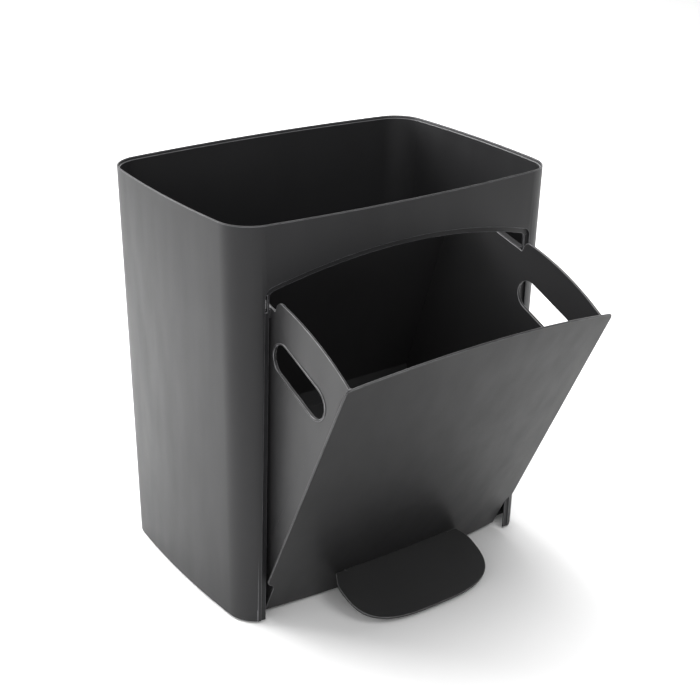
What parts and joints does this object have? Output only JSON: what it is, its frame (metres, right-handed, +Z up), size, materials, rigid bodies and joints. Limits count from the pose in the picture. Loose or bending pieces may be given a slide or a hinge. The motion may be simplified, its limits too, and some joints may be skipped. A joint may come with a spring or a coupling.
{
  "type": "tilt-out waste bin",
  "caption": "Open-topped bowed plastic bin casing with a tilt-out hopper, bowed front panel, hand-hold slots and foot pedal.",
  "frame": {"origin": "middle of the floor area covered at rest, with the hopper open", "axes": "+Z up, -Y out of the hopper's front panel, +X to the right of a person who faces the panel"},
  "size_m": [0.4, 0.4198, 0.4363],
  "materials": {
    "charcoal_shell": "satin charcoal moulded polypropylene",
    "charcoal_bucket": "satin charcoal moulded polypropylene",
    "charcoal_panel": "satin charcoal, fine moulded grain",
    "charcoal_pedal": "matt charcoal, fine grain",
    "black_tray": "matt black",
    "zinc_steel": "zinc plated",
    "natural_nylon": "natural nylon",
    "black_rubber": "matt black rubber"
  },
  "bodies": {
    "casing": {"casing_shell": "charcoal_shell", "base_tray": "black_tray", "hinge_pin_left": "zinc_steel", "hinge_pin_right": "zinc_steel", "pin_clip_left": "zinc_steel", "pin_clip_right": "zinc_steel", "hinge_bracket_left": "zinc_steel", "hinge_bracket_right": "zinc_steel", "bracket_screw_left_1": "zinc_steel", "bracket_screw_left_2": "zinc_steel", "bracket_screw_right_1": "zinc_steel", "bracket_screw_right_2": "zinc_steel", "base_screw_left_front": "zinc_steel", "base_screw_left_back": "zinc_steel", "base_screw_right_front": "zinc_steel", "base_screw_right_back": "zinc_steel", "rubber_foot_left_front": "black_rubber", "rubber_foot_left_back": "black_rubber", "rubber_foot_right_front": "black_rubber", "rubber_foot_right_back": "black_rubber"},
    "hopper": {"hopper_bucket": "charcoal_bucket", "front_panel": "charcoal_panel", "foot_pedal": "charcoal_pedal", "hinge_bush_left": "natural_nylon", "hinge_bush_right": "natural_nylon", "panel_screw_1": "zinc_steel", "panel_screw_2": "zinc_steel", "panel_screw_3": "zinc_steel", "panel_screw_4": "zinc_steel", "pedal_screw_1": "zinc_steel", "pedal_screw_2": "zinc_steel"}
  },
  "joints": [
    {"name": "hopper_tilt", "type": "hinge", "parent": "casing", "child": "hopper", "pos_m": [0, -0.01476, 0.0479], "axis": [1, 0, 0], "range_deg": [-24.7, 0]}
  ]
}
